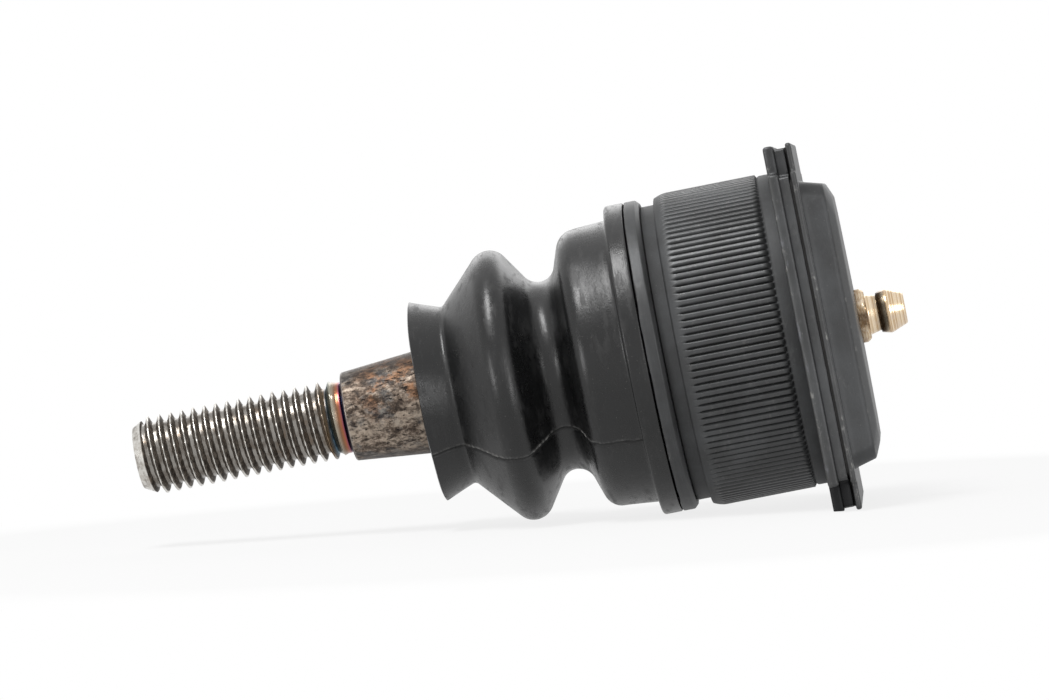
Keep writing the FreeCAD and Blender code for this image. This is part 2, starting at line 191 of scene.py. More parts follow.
# A value or colour inside a tree of nodes. Plain arithmetic on it adds the Math nodes.
class nodeValue:
    def __init__(self, maker, socket):
        self.maker, self.socket = maker, socket

    def maths(self, operation, first, second, clamped=False):
        return self.maker.node("ShaderNodeMath", {"operation": operation, "use_clamp": clamped},
                               {0: first, 1: second})

    def __add__(self, other): return self.maths("ADD", self, other)
    def __radd__(self, other): return self.maths("ADD", other, self)
    def __sub__(self, other): return self.maths("SUBTRACT", self, other)
    def __rsub__(self, other): return self.maths("SUBTRACT", other, self)
    def __mul__(self, other): return self.maths("MULTIPLY", self, other)
    def __rmul__(self, other): return self.maths("MULTIPLY", other, self)
    def __truediv__(self, other): return self.maths("DIVIDE", self, other)
    def __rtruediv__(self, other): return self.maths("DIVIDE", other, self)
    def __pow__(self, other): return self.maths("POWER", self, other)

    def most(self, other): return self.maths("MAXIMUM", self, other)
    def limited(self): return self.maths("ADD", self, 0.0, clamped=True)

    # 0 below the first value, 1 above the second, and a soft step between them
    def rising(self, low, high):
        return self.maker.node("ShaderNodeMapRange", {"interpolation_type": "SMOOTHSTEP"},
                               {"Value": self, "From Min": low, "From Max": high})

    def falling(self, low, high): return 1.0 - self.rising(low, high)


# A tree of nodes, emptied first. Every node in it is added through node().
class nodeMaker:
    def __init__(self, tree):
        self.tree = tree
        tree.nodes.clear()

    # Any node: its type, its settings first, then values or links for its sockets
    def node(self, kind, settings=None, inputs=None, output=0):
        made = self.tree.nodes.new(kind)
        for key, value in (settings or {}).items():
            if key == "stops":
                ramp = made.color_ramp
                while len(ramp.elements) < len(value):
                    ramp.elements.new(0.5)
                for element, (spot, colour) in zip(ramp.elements, value):
                    element.position, element.color = spot, (*colour, 1)
            else:
                setattr(made, key, value)
        for key, value in (inputs or {}).items():
            if isinstance(value, nodeValue):
                self.tree.links.new(value.socket, made.inputs[key])
            else:
                made.inputs[key].default_value = value
        return nodeValue(self, made.outputs[output]) if made.outputs else None

    # 1 on rays of one kind, such as "Glossy", and 0 on the others
    def rays(self, kind):
        return self.node("ShaderNodeLightPath", output="Is " + kind + " Ray")


# One material, with its place on the piece in millimetres and the patterns that finishes share.
class finishMaker(nodeMaker):
    def __init__(self, name):
        self.material = bpy.data.materials.new(name)
        self.material.use_nodes = True
        super().__init__(self.material.node_tree)
        place = self.node("ShaderNodeTexCoord", output="Object")
        self.place = self.node("ShaderNodeVectorMath", {"operation": "SCALE"},
                               {0: place, "Scale": 1 / millimetre})
        apart = self.node("ShaderNodeSeparateXYZ", inputs={0: self.place})
        self.x, self.y, self.z = [nodeValue(self, apart.socket.node.outputs[k]) for k in "XYZ"]
        self.along = -1.0 * self.x
        self.radius = (self.y * self.y + self.z * self.z) ** 0.5

    # Cloudy pattern, about "size" mm across; stretch divides it along x, y and z
    def clouds(self, size, detail, roughness=0.55, stretch=(1, 1, 1), seed=0.0, place=None):
        moved = self.node("ShaderNodeMapping", {}, {
            "Vector": place or self.place, "Location": (seed, seed * 1.7, seed * 2.3),
            "Scale": tuple(s / size for s in stretch)})
        return self.node("ShaderNodeTexNoise", {}, {
            "Vector": moved, "Scale": 1.0, "Detail": detail, "Roughness": roughness})

    # Fine rings that a lathe leaves: a cloudy pattern that changes along the axis only
    def turningMarks(self, size, seed, detail=3.0):
        line = self.node("ShaderNodeCombineXYZ", inputs={"X": self.x, "Y": self.radius * 0.6})
        return self.clouds(size, detail=detail, seed=seed, place=line)

    # Small grains here and there: 1 inside a grain of about "size" mm, on "share" of the cells
    def grains(self, size, share, seed=0.0):
        moved = self.node("ShaderNodeMapping", {}, {
            "Vector": self.place, "Location": (seed, seed * 1.3, -seed), "Scale": (1 / size,) * 3})
        cell = self.node("ShaderNodeTexVoronoi", {}, {"Vector": moved, "Scale": 1.0},
                         output="Distance")
        chance = nodeValue(self, cell.socket.node.outputs["Color"])
        pick = self.node("ShaderNodeSeparateXYZ", inputs={0: chance})
        return cell.falling(0.12, 0.34) * pick.rising(1 - share - 0.01, 1 - share)

    def layer(self, name):  # the mesh's own values, such as wear
        return self.node("ShaderNodeAttribute", {"attribute_name": name}, output="Fac")

    def blend(self, factor, first, second):  # the first where 0, the second where 1
        colours = [c if isinstance(c, nodeValue) else (*c, 1) for c in (first, second)]
        return self.node("ShaderNodeMix", {"data_type": "RGBA"},
                         {0: factor, 6: colours[0], 7: colours[1]}, output=2)

    # Two colours: the first where the pattern is under "low", the second where it is over "high"
    def mottled(self, pattern, low, high, colours):
        return self.blend(pattern.rising(low, high), *colours)

    def ramp(self, factor, stops):  # a colour for each place from 0 to 1
        return self.node("ShaderNodeValToRGB", {"stops": stops}, {"Fac": factor})

    # The surface, with a bump of "depth" mm where the height changes by 1
    def finish(self, colour, roughness, metallic, height, depth):
        bump = self.node("ShaderNodeBump", {}, {
            "Height": height, "Strength": 1.0, "Distance": depth * millimetre})
        return self.shown(self.node("ShaderNodeBsdfPrincipled", {}, {
            "Base Color": colour, "Roughness": roughness, "Metallic": metallic, "Normal": bump}))

    def shown(self, surface):  # the finished material
        self.node("ShaderNodeOutputMaterial", {}, {"Surface": surface})
        return self.material


studFinish = {
    # where each zone starts or ends along the stud, and the radius of the thread's root and crest
    "threadFrom": (60.4, 61.6), "rootTo": (89.4, 89.7), "tipFrom": (89.9, 90.3),
    "rootRadius": (4.95, 5.10), "crestRadius": (5.66, 5.84), "taperTo": (58.25, 58.5),
    "heatFrom": 58.4, "heatLength": 4.2, "heatTo": (61.6, 62.8),
    "steel": ((0.70, 0.685, 0.65), (0.46, 0.43, 0.39)),
    "root": ((0.24, 0.225, 0.205), (0.105, 0.088, 0.072)),
    "grimeAndDarkReflection": ((0.038, 0.029, 0.022), (0.19, 0.16, 0.13)),
    "smear": (0.15, 0.105, 0.070), "tip": (0.20, 0.175, 0.15),
    "heatTintAndShadow": [
        (0.0, (0.10, 0.07, 0.06)), (0.05, (0.008, 0.008, 0.012)), (0.11, (0.035, 0.055, 0.13)),
        (0.16, (0.27, 0.07, 0.12)), (0.24, (0.33, 0.12, 0.06)), (0.32, (0.22, 0.12, 0.07)),
        (0.44, (0.34, 0.30, 0.24)), (0.56, (0.19, 0.21, 0.18)), (0.64, (0.07, 0.14, 0.20)),
        (0.76, (0.17, 0.11, 0.06))],
    "burnt": [
        (0.0, (0.014, 0.010, 0.008)), (0.42, (0.032, 0.023, 0.017)),
        (0.475, (0.085, 0.060, 0.044)), (0.52, (0.17, 0.13, 0.10)),
        (0.57, (0.33, 0.265, 0.21)), (0.65, (0.52, 0.44, 0.36))],
    "slate": ((0.030, 0.034, 0.040), (0.15, 0.16, 0.16)),
    "rust": ((0.055, 0.028, 0.014), (0.30, 0.135, 0.055)),
    "cream": ((0.075, 0.055, 0.042), (0.47, 0.39, 0.31)),
    "pit": (0.014, 0.010, 0.009), "shade": (0.030, 0.022, 0.018),
}


# Bright turned steel: grime and a painted dark reflection on the thread's flanks, heat colours in
# the groove with a painted shadow line where the taper steps down, and a burnt taper with painted
# shade towards its top and bottom edges.
def studSteel():
    m, c = finishMaker("stud_steel"), studFinish
    s, up = m.along, m.z
    blotch = m.clouds(2.4, 6, 0.64, (1.5, 1, 1))
    fine = m.clouds(0.40, 6, 0.7, (1.6, 1, 1), seed=4)
    inThread = s.rising(*c["threadFrom"])
    colour = m.mottled(m.clouds(1.2, 5, 0.65, seed=5), 0.35, 0.7, c["steel"])
    root = m.radius.falling(*c["rootRadius"]) * inThread * s.falling(*c["rootTo"])
    colour = m.blend(root * 0.9, colour, m.mottled(blotch, 0.42, 0.58, c["root"]))
    crest = m.radius.rising(*c["crestRadius"]) * inThread
    uneven = 0.80 + 0.5 * m.clouds(1.6, 5, seed=1)
    # grime and a painted dark reflection on the thread's flanks, where the "flank" layer marks them
    dirtAndShade = (m.layer("flank") * inThread * uneven * (1.0 - crest)).limited()
    grimeAndDarkReflection = m.mottled(m.clouds(0.9, 5, 0.7, seed=7), 0.4, 0.65, c["grimeAndDarkReflection"])
    colour = m.blend(dirtAndShade, colour, grimeAndDarkReflection)
    colour = m.blend(blotch.rising(0.58, 0.64) * inThread * 0.45, colour, c["smear"])
    onTip = s.rising(*c["tipFrom"]) * blotch.rising(0.46, 0.60)
    colour = m.blend(onTip * 0.8, colour, c["tip"])
    # heat colours, and near their start a near-black painted shadow line where the taper steps down
    # to the groove
    heatTintAndShadow = m.ramp((s - c["heatFrom"]) / c["heatLength"] + (blotch - 0.5) * 0.05, c["heatTintAndShadow"])
    heated = s.falling(*c["heatTo"]) * s.rising(*c["taperTo"])
    colour = m.blend(heated, colour, heatTintAndShadow)

    # the taper: fine brown, grey and cream crusts drawn out along it, in larger tinted areas
    crust = m.clouds(0.9, 8, 0.76, (0.6, 1, 1), seed=31)
    burnt = m.ramp(crust * 0.8 + fine * 0.2, c["burnt"])
    slate = m.clouds(3.6, 6, 0.66, (0.8, 1, 1), seed=9).rising(0.48, 0.58)
    burnt = m.blend(slate * 0.6, burnt, m.mottled(crust, 0.42, 0.60, c["slate"]))
    rust = m.clouds(3.4, 6, 0.64, (0.8, 1, 1), seed=21).rising(0.47, 0.58)
    rust = rust * up.rising(-2.5, 2.5) * s.falling(53.5, 57.5)
    burnt = m.blend(rust * 0.75, burnt, m.mottled(crust, 0.42, 0.58, c["rust"]))
    cream = m.clouds(2.4, 6, 0.7, (0.7, 1, 1), seed=25).rising(0.44, 0.56)
    cream = cream * up.falling(-2.0, 1.5) * up.rising(-7.2, -5.0)
    burnt = m.blend(cream * 0.7, burnt, m.mottled(crust, 0.38, 0.56, c["cream"]))
    pits = m.clouds(0.55, 5, 0.62, (0.45, 1, 1), seed=41).rising(0.60, 0.64)
    burnt = m.blend(pits * 0.85, burnt, c["pit"])
    # painted shade: the taper darker towards its top and bottom edges
    burnt = m.blend(up.rising(4.2, 7.2).most(up.falling(-7.4, -5.4)) * 0.6, burnt, c["shade"])
    onTaper = s.falling(*c["taperTo"])
    colour = m.blend(onTaper, colour, burnt)

    rough = 0.22 + 0.34 * dirtAndShade + 0.08 * fine + onTaper * (0.10 + 0.26 * crust + 0.2 * pits)
    shine = 1.0 - 0.6 * dirtAndShade - onTaper * 0.35
    scaly = onTaper * (crust * 1.2 + fine * 0.5 - pits * 1.3)
    height = m.turningMarks(0.16, 2) * 0.35 + fine * 0.35 + scaly
    return m.finish(colour, rough, shine, height, 0.03)


rubberFinish = {
    "black": ((0.0020, 0.0021, 0.0023), (0.0055, 0.0057, 0.0061)), "rubbed": (0.016, 0.016, 0.016),
    "dust": (0.15, 0.14, 0.13), "fineDust": (0.13, 0.13, 0.125),
    "flash": (0.26, 0.255, 0.245), "seam": (0.001, 0.001, 0.001),
}


# Black moulded rubber: deep black with a soft sheen, faint rubbed streaks round it, dust, and a
# seam that is a dark line with torn, paler flash beside it.
def bootRubber():
    m, c = finishMaker("boot_rubber"), rubberFinish
    cloudy, fine = m.clouds(7.0, 5, 0.6, seed=3), m.clouds(0.5, 5, 0.7)
    rubbed = m.clouds(2.2, 7, 0.70, (1.6, 0.45, 0.45), seed=8).rising(0.50, 0.66)
    seam, flash = m.layer("seam"), m.layer("flash")
    colour = m.mottled(cloudy, 0.3, 0.75, c["black"])
    colour = m.blend(rubbed * 0.6, colour, c["rubbed"])
    colour = m.blend(m.grains(0.32, 0.035) * 0.35, colour, c["dust"])
    colour = m.blend(m.grains(0.20, 0.03, 7.0) * 0.35, colour, c["fineDust"])
    torn = m.clouds(0.45, 4, 0.6, seed=17).rising(0.30, 0.50)
    colour = m.blend(flash * torn, colour, c["flash"])
    colour = m.blend(seam.rising(0.25, 0.6), colour, c["seam"])
    rough = 0.19 + 0.12 * cloudy + 0.06 * fine + 0.18 * rubbed + 0.35 * seam.most(flash)
    height = fine * 0.45 + m.clouds(1.5, 4, 0.6, seed=2) * 0.5 + rubbed * 0.25 - seam * 1.3
    return m.finish(colour, rough, 0.0, height, 0.05)


blackSteelFinish = {
    "metallic": 0.82, "patch": (0.185, 0.19, 0.215), "dust": (0.22, 0.215, 0.21),
    "scuffAndHighlight": (0.34, 0.335, 0.32), "notchShade": (0.010, 0.010, 0.011),
    "darker": (0.82, 0.83, 0.84), "paler": (1.12, 1.15, 1.18), "rubbed": (1.7, 1.7, 1.7),
}


# Black oxidised steel: a grey sheen with mottling, bluish rubbed patches, and where the "wear"
# layer marks an edge, bright scuffs and a thin painted highlight. Away from the marks it is rougher
# by "dull".
def blackSteel(name, worn, grey, sheen, marksSize=0.0, patches=0.0, dull=0.0, notchShaded=0.0):
    m, c = finishMaker(name), blackSteelFinish
    darker, paler, rubbed = [tuple(grey * share for share in c[tone])
                             for tone in ("darker", "paler", "rubbed")]
    cloudy, fine = m.clouds(6.5, 5, 0.6, seed=2), m.clouds(0.42, 6, 0.7, seed=6)
    edge = m.layer("wear")
    nicks = m.clouds(1.0, 7, 0.76, (1.0, 0.6, 0.6), seed=11).rising(0.55, 0.66)
    # worn nicks on the marked edges, and a thin painted highlight all along them
    scuffAndHighlight = (edge * (0.12 + nicks)).limited() * worn
    colour = m.mottled(cloudy, 0.3, 0.7, (darker, paler))
    streaks = m.clouds(1.7, 7, 0.75, (1.0, 0.5, 0.5), seed=13).rising(0.56, 0.70)
    colour = m.blend(streaks * 0.4, colour, rubbed)
    if patches:
        patch = m.clouds(3.2, 5, 0.62, (1.6, 0.6, 0.6), seed=19).rising(0.55, 0.66)
        colour = m.blend(patch * edge.rising(0.35, 0.8) * patches, colour, c["patch"])
    colour = m.blend(m.grains(0.28, 0.03, 3.0) * 0.3, colour, c["dust"])
    colour = m.blend(scuffAndHighlight, colour, c["scuffAndHighlight"])
    # painted shade: near black where the layer marks the flange's notches
    if notchShaded:
        colour = m.blend(m.layer("stain") * notchShaded, colour, c["notchShade"])
    rough = sheen + 0.10 * cloudy + 0.10 * fine - 0.08 * scuffAndHighlight + (1.0 - edge) * dull
    height = fine * 0.8 + cloudy * 0.4
    if marksSize:
        height = height + m.turningMarks(marksSize, 5) * 1.2
    return m.finish(colour, rough, c["metallic"], height, 0.03)


zincFinish = {
    "zinc": ((0.54, 0.37, 0.21), (0.86, 0.72, 0.53)), "worn": (0.66, 0.55, 0.46),
    "dirtAndShade": (0.075, 0.036, 0.013),
}


# Pale warm passivated zinc, turned on a lathe: streaks round it, darker brown in its corners, and
# painted shade behind the head and on one hexagon flat, where the "wear" layer marks them.
def zincNipple():
    m, c = finishMaker("zinc_plate"), zincFinish
    streak, fine = m.turningMarks(0.15, 1, 5), m.clouds(0.35, 4, seed=2)
    colour = m.mottled(streak, 0.40, 0.60, c["zinc"])
    colour = m.blend(m.clouds(1.6, 4, seed=5).rising(0.50, 0.66) * 0.4, colour, c["worn"])
    uneven = 0.45 + 0.9 * m.clouds(0.6, 5, 0.62, (1.4, 1, 1), seed=9)
    colour = m.blend((m.layer("wear") * uneven).limited(), colour, c["dirtAndShade"])
    rough = 0.14 + 0.14 * streak + 0.05 * fine
    return m.finish(colour, rough, 1.0, streak * 0.7 + fine * 0.1, 0.012)


# A plain finish with mottling, for the small pieces inside.
def innerFinish(name, colour, roughness, metallic):
    m = finishMaker(name)
    cloudy = m.clouds(2.5, 5, seed=1)
    paler = tuple(min(1.0, c * 1.35) for c in colour)
    return m.finish(m.mottled(cloudy, 0.3, 0.7, (colour, paler)), roughness + 0.12 * cloudy,
                    metallic, m.turningMarks(0.3, 3) + cloudy * 0.4, 0.02)


finishes = {
    "stud": studSteel(),
    "boot": bootRubber(),
    "housing": blackSteel("housing_steel", worn=0.10, grey=0.070, sheen=0.30, dull=0.22),
    "flange": blackSteel("flange_steel", worn=0.55, grey=0.072, sheen=0.38, patches=0.6,
                         notchShaded=0.85),
    "cover": blackSteel("cover_steel", worn=0.45, grey=0.065, sheen=0.36),
    "ring": blackSteel("ring_steel", worn=0.35, grey=0.066, sheen=0.38, marksSize=0.35),
    "nipple": zincNipple(),
    "bearing": innerFinish("bearing_polymer", (0.62, 0.58, 0.48), 0.45, 0.0),
    "seat": innerFinish("seat_steel", (0.28, 0.27, 0.26), 0.35, 0.9),
    "spring": innerFinish("spring_steel", (0.20, 0.20, 0.21), 0.35, 1.0),
    "gasket": innerFinish("gasket_fibre", (0.022, 0.021, 0.020), 0.85, 0.0),
}
print("materials made:", len(finishes))


stud = {
    "ballRadius": 13.5, "neckRadius": 7.2, "neckEnd": 32.2, "taperBig": (37.2, 8.773),
    "taperSmall": (58.6, 6.75), "grooveRadius": 5.4, "threadStart": 60.2, "threadRadius": 6.0,
    "threadEnd": 91.3, "pitch": 1.75, "threadDepth": 1.18, "crestShare": 0.09, "rootShare": 0.70,
    "flankCurve": 1.25, "runIn": 1.0, "runInDrop": 0.36, "tipRadius": 4.7, "tipCone": 1.45,
    "tipSlope": 0.52, "tipDome": 0.22, "wear": 0.03, "threadStep": 0.0875, "step": 0.42,
    "columns": 108,
}


# Height of the thread, 0 in the root and 1 on the crest: with t the share of the way from a
# crest's middle to the root's middle, ((rootShare - t) / (rootShare - crestShare))^flankCurve
# held between 0 and 1, on a helix that goes one pitch further for each turn.
def threadHeight(along, angles):
    turn = (along[:, None] - stud["threadStart"]) / stud["pitch"] - angles / fullTurn
    t = np.abs(turn - np.round(turn)) * 2
    return climb(-t, -stud["rootShare"], -stud["crestShare"]) ** stud["flankCurve"]


# Radius of the stud: a ball, then a line of rounded corners, then the thread cut by its chamfers.
def makeStud():
    s = stud
    ballRadius, neck, groove = s["ballRadius"], s["neckRadius"], s["grooveRadius"]
    threadStart, threadRadius, tipRadius = s["threadStart"], s["threadRadius"], s["tipRadius"]
    taperEnd = s["taperSmall"][0]
    t = np.linspace(math.pi - 0.04, math.asin(neck / ballRadius), 40)
    ball = np.stack([ballRadius * np.cos(t), ballRadius * np.sin(t)], 1)
    shank = roundedLine([
        (math.sqrt(ballRadius ** 2 - neck ** 2), neck, 0), (s["neckEnd"], neck, 5.0),
        (*s["taperBig"], 0.6), (*s["taperSmall"], 0.22), (taperEnd + 0.02, groove - 0.3, 0.12),
        (taperEnd + 0.5, groove, 0.3), (threadStart - 0.5, groove + 0.02, 0.3),
        (threadStart, threadRadius - 0.38, 0)], s["step"])
    tipStart = s["threadEnd"] - s["tipDome"]
    along = np.arange(threadStart + 0.05, tipStart, s["threadStep"])
    domeRadius = np.concatenate([[tipRadius - 0.12], np.linspace(tipRadius - 0.45, 0.25, 7)])
    dome = s["threadEnd"] - s["tipDome"] * (domeRadius / tipRadius) ** 2
    angles = evenAngles(s["columns"])
    # the tip's cone cuts the crests, and there is no thread on the cone's end and by the groove
    fromTip = tipStart - along
    cut = np.minimum(threadRadius, tipRadius + np.maximum(fromTip, 0) * s["tipSlope"])
    lift = threadHeight(along, angles)
    plainTip = np.clip((s["tipCone"] - fromTip) / 0.15, 0, 1)[:, None]
    runIn = np.clip((along[:, None] - threadStart - 0.1) / s["runIn"], 0, 1)
    thread = threadRadius - s["threadDepth"] * (1 - lift)
    thread = thread * runIn + (1 - runIn) * (threadRadius - s["runInDrop"] - 0.18 * (1 - lift))
    worn = np.minimum(s["wear"] * wander(angles, along[:, None], 21, 14, 4.0), 0)
    thread = np.minimum(thread + worn + plainTip * 2, cut[:, None])
    lift = np.maximum(lift, plainTip)
    rings = np.concatenate([
        turnedRings(ball[:, 0], ball[:, 1], angles),
        turnedRings(shank[1:, 0], shank[1:, 1], angles),
        turnedRings(along, thread, angles), turnedRings(dome, domeRadius, angles)])
    flank = np.zeros(rings.shape[:2])
    start = len(ball) + len(shank) - 1
    flank[start:start + len(along)] = climb(lift, 0.02, 0.14) * climb(-lift, -0.995, -0.835)
    return skin("threaded_ball_stud", rings, {"flank": flank}, sharpAt=34, poles=True)


fit(makeStud(), "stud", finishes["stud"], "ball_stud")
print("stud made")


boot = {
    "foot": [(14.25, 19.8, 0), (14.25, 20.55, 0), (11.8, 20.55, 0), (11.8, 23.6, 0.3),
             (14.7, 23.6, 0.45), (14.7, 21.6, 0.4), (15.3, 21.55, 0)],
    "bellows": [(14.7, 21.6, 0), (22.15, 20.95, 2.8), (25.55, 11.2, 2.7), (33.15, 22.4, 3.0),
                (41.55, 13.43, 0.8), (46.4, 15.28, 0)],
    # the wall is thinner at the waist, so that the leaning stud stays clear of it
    "wallAlong": (22.5, 24.0, 27.2, 29.0, 42.4, 46.4), "wall": (1.8, 1.25, 1.25, 1.8, 1.8, 0.35),
    "widest": 23.6, "waviness": 0.14, "softFrom": 15.5, "softTo": 19.5, "pressedIn": 0.04,
    "seamAngle": -32.0, "seamWidth": 0.25, "seamDepth": 0.14, "seamReach": 3.2, "seamColumns": 17,
    "flashOffset": 0.38, "flashWidth": 0.20, "flashHeight": 0.24,
    "lipFrom": 43.5, "lipTo": 46.5, "lipDrawn": 0.10, "lipWave": 0.07,
    "step": 0.42, "columns": 150, "blendFrom": 15.4, "blendTo": 27.8,
}


# Angles round the boot: even steps, and close ones beside the two mould seams.
def bootAngles():
    even = evenAngles(boot["columns"])
    seam = math.radians(boot["seamAngle"])
    near = np.radians(np.linspace(-boot["seamReach"], boot["seamReach"], boot["seamColumns"]))
    close = np.concatenate([seam + near, seam + math.pi + near]) % fullTurn
    gap = np.abs((even[:, None] - close + math.pi) % fullTurn - math.pi).min(1)
    return np.sort(np.concatenate([even[gap > math.radians(0.5)], close]))


# The seam's share at each point: exp(-(distance from its wandering line / width)^2). The flash
# beside it is the same at an offset, a little further up.
def seamShare(along, radius, angles, offset, width):
    along, radius = along[:, None], radius[:, None]
    line = math.radians(boot["seamAngle"]) + np.radians(0.9) * wander(0, along, 5, 2, 9.0) \
        + np.radians(0.25) * wander(0, along, 6, 2, 1.3)
    away = []
    for side, upwards in ((0, 1), (math.pi, -1)):
        turned = np.abs((angles - line - side + math.pi) % fullTurn - math.pi
                        - offset / radius * upwards)
        away.append(turned * radius)
    return np.exp(-(np.minimum(*away) / width) ** 2)


# The boot's line of folds turned round the axis, the same line moved inwards for its inside, and
# the foot's rim. The radius wanders a little, less the seam's groove and plus its torn flash.
def makeBoot():
    b = boot
    foot = roundedLine(b["foot"], b["step"])[:-2]
    outside = roundedLine(b["bellows"], b["step"])[1:]
    inside = besideLine(outside, np.interp(outside[:, 0], b["wallAlong"], b["wall"]))[::-1]
    inside = inside[inside[:, 0] > b["foot"][0][0]]
    profile = np.concatenate([foot, outside, inside])
    along, radius = profile[:, :1], profile[:, 1:]
    angles = bootAngles()
    share = seamShare(*profile.T, angles, 0.0, b["seamWidth"])
    flash = seamShare(*profile.T, angles, b["flashOffset"], b["flashWidth"])
    # the flash is torn off in places, and stands most on the steep sides of the folds
    torn = np.clip(0.5 + 1.3 * wander(0.0, along, 61, 2, 1.1), 0, 1.4)
    steep = np.clip(np.abs(np.gradient(radius, axis=0)) / b["step"], 0, 1)
    torn = torn * (0.15 + 1.3 * steep ** 2)
    outer = np.zeros((len(profile), 1))
    outer[len(foot) - 6:len(foot) + len(outside)] = 1
    soft = climb(along, b["softFrom"], b["softTo"])
    seamRise = flash * torn * b["flashHeight"] - share * b["seamDepth"] - b["pressedIn"]
    radius = radius + soft * b["waviness"] * wander(angles, along, 7, 5, 30.0) + outer * seamRise
    rings = turnedRings(profile[:, 0], np.minimum(radius, b["widest"]), angles)
    lip = climb(along, b["lipFrom"], b["lipTo"]) ** 2
    rings[:, :, 0] += lip * b["lipDrawn"] - lip * b["lipWave"] * wander(angles, 0.0, 12, 7)
    layers = {"seam": share * outer, "flash": flash * torn * outer}
    return skin("rubber_boot", rings, layers, sharpAt=48)


bootPiece = fit(makeBoot(), None, finishes["boot"], "dust_boot")
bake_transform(bootPiece)


ring = {
    "from": 9.32, "to": 11.72, "inner": 20.56, "outer": 23.6, "chamfer": 0.6, "step": 0.3,
    "rimFrom": 22.6, "rimTo": 23.4, "wave": 0.07, "crackFrom": 11.4, "crackTo": 11.7,
    "crack": 0.10, "wornAt": 11.6, "wornWidth": 0.25, "worn": 0.7, "columns": 200,
}


# A turned ring: a line of rounded corners round the axis, with a slightly wavy rim and, where it
# meets the boot's foot, an edge moved along by crack * (1 + wander).
def makeRing():
    g = ring
    near, far, inner, outer = g["from"], g["to"], g["inner"], g["outer"]
    line = roundedLine([
        (near, inner + 0.01, 0), (near, outer - g["chamfer"], 0.3),
        (near + g["chamfer"], outer, 0.35), (far, outer, 0.25), (far, inner, 0.05),
        (near + 0.02, inner, 0)], g["step"])
    along, radius = line[:, :1], line[:, 1:]
    angles = evenAngles(g["columns"])
    onRim = climb(radius, g["rimFrom"], g["rimTo"])
    wave = np.minimum(wander(angles, along, 31, 24, 6.0), 0) * g["wave"]
    rings = turnedRings(line[:, 0], radius + wave * onRim, angles)
    crack = climb(along, g["crackFrom"], g["crackTo"]) * onRim
    rings[:, :, 0] += crack * g["crack"] * (1 + wander(angles, 0.0, 44, 30))
    edge = np.exp(-((along - g["wornAt"]) / g["wornWidth"]) ** 2) * onRim
    return skin("boot_seat_ring", rings, {"wear": edge * g["worn"]}, sharpAt=50)


fit(makeRing(), "body", finishes["ring"], "boot_mounting_ring")
print("boot and ring made")


seat = {
    "teeth": 138, "perTooth": 10, "crest": 23.85, "depth": 0.5, "start": 7.1, "leadIn": 2.0,
    "leadInDrop": 0.55, "flatTop": 1.35, "ridgeCurve": 0.8, "unevenness": 0.10,
    "runOutFrom": 5.3, "runOutTo": 6.2, "band": 23.6, "bandRows": (-8.95, -9.15, -10.5),
    "face": -10.8, "spigot": 20.5, "spigotEnd": 14.2, "spigotRoot": 9.3, "collar": 22.4,
    "mouth": 15.33, "bore": 17.0, "boreEnd": 7.5, "throat": 12.28,
    "knurlRows": (7.1, 7.05, 6.85, 6.5, 6.15, 5.8, 5.45, 5.1, 3.3, 0.5, -2.5, -5.5, -7.6, -8.4,
                  -8.7),
}


# Knurled seat: in the knurl the radius is the smaller of the lead-in's cone and
# root + depth * min(1, flatTop |cos(teeth / 2 * angle)|)^ridgeCurve, which gives rounded ridges
# with narrower valleys.
def makeKnurledSeat():
    k = seat
    angles = evenAngles(k["teeth"] * k["perTooth"])
    spigot, collar, band, face = k["spigot"], k["collar"], k["band"], k["face"] - 0.05
    before = np.array([
        (k["spigotEnd"], k["mouth"]), (k["spigotEnd"], spigot - 0.5),
        (k["spigotEnd"] - 0.5, spigot), (k["spigotRoot"], spigot), (k["spigotRoot"], collar - 0.2),
        (k["spigotRoot"] - 0.2, collar), (k["start"] + 0.2, collar), (k["start"], collar + 0.15)])
    along = np.array(k["knurlRows"])
    into = climb(along, k["start"] - k["leadIn"], k["start"])
    limit = k["crest"] - k["leadInDrop"] * into ** 1.8
    limit[0] -= 0.12
    ridge = np.minimum(1, k["flatTop"] * np.abs(np.cos(k["teeth"] / 2 * angles))) ** k["ridgeCurve"]
    uneven = 1 - k["unevenness"] * np.abs(wander(angles, 0.0, 3, 40))
    teeth = k["crest"] - k["depth"] * (1 - ridge * uneven)
    filled = climb(along, k["runOutFrom"], k["runOutTo"])[:, None] * k["depth"]
    knurl = np.minimum(limit[:, None], teeth[None, :] + filled)
    knurl[-1] = band - 0.22
    bandStart, bandFull, bandEnd = k["bandRows"]
    after = np.array([
        (bandStart, band - 0.03), (bandFull, band), (bandEnd, band), (face, band - 0.05),
        (face, k["bore"]), (k["boreEnd"], k["bore"]), (k["boreEnd"], k["throat"])])
    rings = np.concatenate([turnedRings(*before.T, angles), turnedRings(along, knurl, angles),
                            turnedRings(*after.T, angles)])
    wear = np.zeros(rings.shape[:2])
    wear[len(before):len(before) + len(along)] = climb(knurl, k["crest"] - 0.22, k["crest"] - 0.02)
    return skin("knurled_press_seat", rings, {"wear": wear}, sharpAt=75)


fit(makeKnurledSeat(), "body", finishes["housing"], "housing")


flange = {
    "half": 27.39, "notch": 4.2, "corner": 0.5, "front": 10.8, "rimBack": 12.4, "back": 13.9,
    "faceRadius": 22.0, "roughness": 0.09, "layerRoughness": 0.06, "layerWear": 0.12,
    "samples": {"tab": 34, "corner": 7, "notch": 9},
    # the rim's rows (distance from the front or the back face, how far it is drawn in)
    "frontRows": [(0.0, 0.42), (0.06, 0.22), (0.2, 0.08), (0.42, 0.0), (0.8, 0.0)],
    "backRows": [(-0.42, 0.02), (-0.16, 0.10), (-0.04, 0.24), (0.0, 0.45)],
    "layerRows": [(12.41, 0.62), (12.5, 0.6), (13.8, 0.6), (13.9, 0.7)],
    "notchShadeAbove": 0.25,
}


